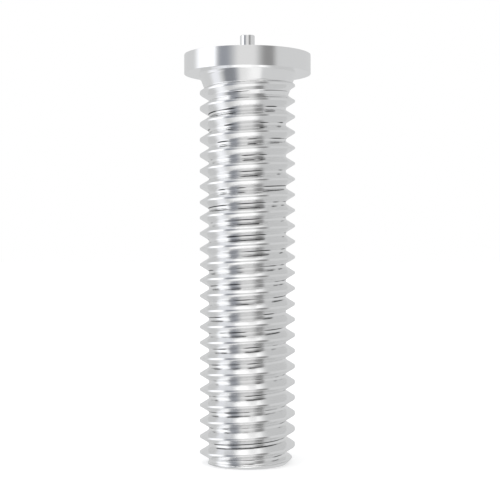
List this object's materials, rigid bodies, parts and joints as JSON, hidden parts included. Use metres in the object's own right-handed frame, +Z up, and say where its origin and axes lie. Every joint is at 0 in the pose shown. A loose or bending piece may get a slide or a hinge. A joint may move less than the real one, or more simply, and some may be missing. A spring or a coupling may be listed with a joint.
{
  "type": "threaded weld stud",
  "caption": "Metric threaded stud with a round flange, a shallow weld face and a small ignition tip, for capacitor-discharge welding to sheet metal.",
  "frame": {"origin": "centre of the flat threaded end, on the surface that the stud stands on", "axes": "+Z up the stud's axis, from the threaded end to the ignition tip; +X is where the lowest crest is 0.18 mm above the end"},
  "size_m": [0.0065, 0.0064, 0.022],
  "materials": {
    "bright_stainless": "bright cold-formed and rolled stainless steel, almost mirror smooth"
  },
  "bodies": {
    "root": {"weld_stud": "bright_stainless"}
  },
  "joints": []
}
